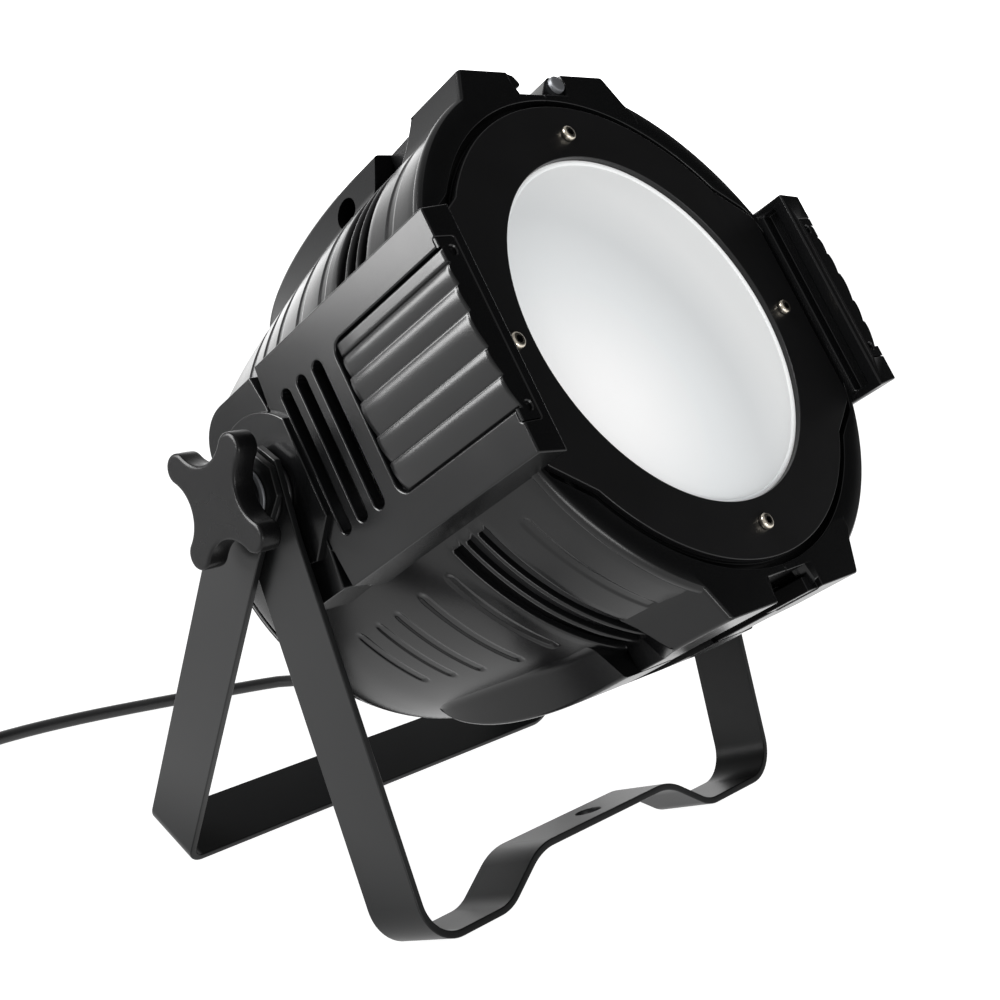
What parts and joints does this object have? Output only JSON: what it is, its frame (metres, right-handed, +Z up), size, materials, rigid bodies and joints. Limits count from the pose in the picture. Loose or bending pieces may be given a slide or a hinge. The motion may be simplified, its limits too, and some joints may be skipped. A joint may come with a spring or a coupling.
{
  "type": "par can light",
  "caption": "Black par can stage light with a frosted round lens, ridged side panels, tilt knobs and a folding double-yoke stand, with a mains lead.",
  "frame": {"origin": "floor under the middle of the box round the lamp, without its lead", "axes": "+Z up, -Y the way the lens looks, +X to the left of someone facing the lens"},
  "size_m": [0.3807, 0.5299, 0.3532],
  "materials": {
    "black_cast": "satin black powder coat on die-cast aluminium",
    "black_strap": "satin black powder coat on steel strap",
    "black_plate": "satin black painted sheet",
    "nickel": "bright nickel plate",
    "zinc_steel": "zinc-plated steel",
    "bare_alu": "plain aluminium",
    "frosted": "frosted white diffuser",
    "black_plastic": "moulded black plastic",
    "grey_plastic": "moulded grey plastic",
    "display": "dark smoked window",
    "phosphor": "yellow phosphor on a ceramic board",
    "board": "green circuit board",
    "rubber": "black rubber or soft vinyl"
  },
  "bodies": {
    "front_yoke": {"front_yoke": "black_strap", "mains_cord": "rubber", "cord_coil": "rubber", "cord_tie": "rubber", "mains_plug": "black_plastic"},
    "can": {"left_half_shell": "black_cast", "right_half_shell": "black_cast", "left_ridge_panel": "black_cast", "right_ridge_panel": "black_cast", "left_pivot_plate": "black_cast", "right_pivot_plate": "black_cast", "rear_cover": "black_cast", "front_plate": "black_plate", "plate_screw_right": "nickel", "plate_screw_top": "nickel", "plate_screw_left": "nickel", "plate_screw_bottom": "nickel", "gel_latch_pin": "zinc_steel", "shell_joining_screw": "zinc_steel", "left_pivot_bolt": "zinc_steel", "right_pivot_bolt": "zinc_steel", "left_outer_washer": "zinc_steel", "right_outer_washer": "zinc_steel", "rear_screw_upper_right": "zinc_steel", "rear_screw_upper_left": "zinc_steel", "rear_screw_lower_left": "zinc_steel", "rear_screw_lower_right": "zinc_steel", "reflector": "bare_alu", "heat_sink": "bare_alu", "power_supply": "bare_alu", "diffuser_lens": "frosted", "lens_gasket": "rubber", "left_inner_washer": "rubber", "right_inner_washer": "rubber", "left_middle_washer": "rubber", "right_middle_washer": "rubber", "fan_frame": "black_plastic", "control_panel": "black_plastic", "dmx_input_socket": "black_plastic", "dmx_output_socket": "black_plastic", "fuse_holder": "black_plastic", "cable_gland": "black_plastic", "display_window": "display", "led_module": "phosphor", "driver_board": "board"},
    "rear_yoke": {"rear_yoke": "black_strap"},
    "left_knob": {"left_knob": "black_plastic"},
    "right_knob": {"right_knob": "black_plastic"},
    "fan_rotor": {"fan_rotor": "black_plastic"},
    "menu_button": {"menu_button": "grey_plastic"},
    "down_button": {"down_button": "grey_plastic"},
    "up_button": {"up_button": "grey_plastic"},
    "enter_button": {"enter_button": "grey_plastic"}
  },
  "joints": [
    {"name": "can_tilt", "type": "hinge", "parent": "front_yoke", "child": "can", "pos_m": [0, 0.02132, 0.18495], "axis": [-1, 0, 0], "range_deg": [-48, 90]},
    {"name": "rear_yoke_fold", "type": "hinge", "parent": "front_yoke", "child": "rear_yoke", "pos_m": [0, 0.02132, 0.18495], "axis": [1, 0, 0], "range_deg": [-34, 12]},
    {"name": "left_knob_turn", "type": "hinge", "parent": "can", "child": "left_knob", "pos_m": [-0.15, 0.02132, 0.18495], "axis": [-1, 0, 0], "range_deg": [0, 360]},
    {"name": "right_knob_turn", "type": "hinge", "parent": "can", "child": "right_knob", "pos_m": [0.15, 0.02132, 0.18495], "axis": [1, 0, 0], "range_deg": [0, 360]},
    {"name": "fan_spin", "type": "hinge", "parent": "can", "child": "fan_rotor", "pos_m": [0, 0.02134, 0.18155], "axis": [0, -0.8118, 0.584], "continuous": true},
    {"name": "menu_press", "type": "slide", "parent": "can", "child": "menu_button", "axis": [0, -0.8118, 0.584], "range_m": [0, 0.0012], "stiffness_N_per_m": 500},
    {"name": "down_press", "type": "slide", "parent": "can", "child": "down_button", "axis": [0, -0.8118, 0.584], "range_m": [0, 0.0012], "stiffness_N_per_m": 500},
    {"name": "up_press", "type": "slide", "parent": "can", "child": "up_button", "axis": [0, -0.8118, 0.584], "range_m": [0, 0.0012], "stiffness_N_per_m": 500},
    {"name": "enter_press", "type": "slide", "parent": "can", "child": "enter_button", "axis": [0, -0.8118, 0.584], "range_m": [0, 0.0012], "stiffness_N_per_m": 500}
  ]
}
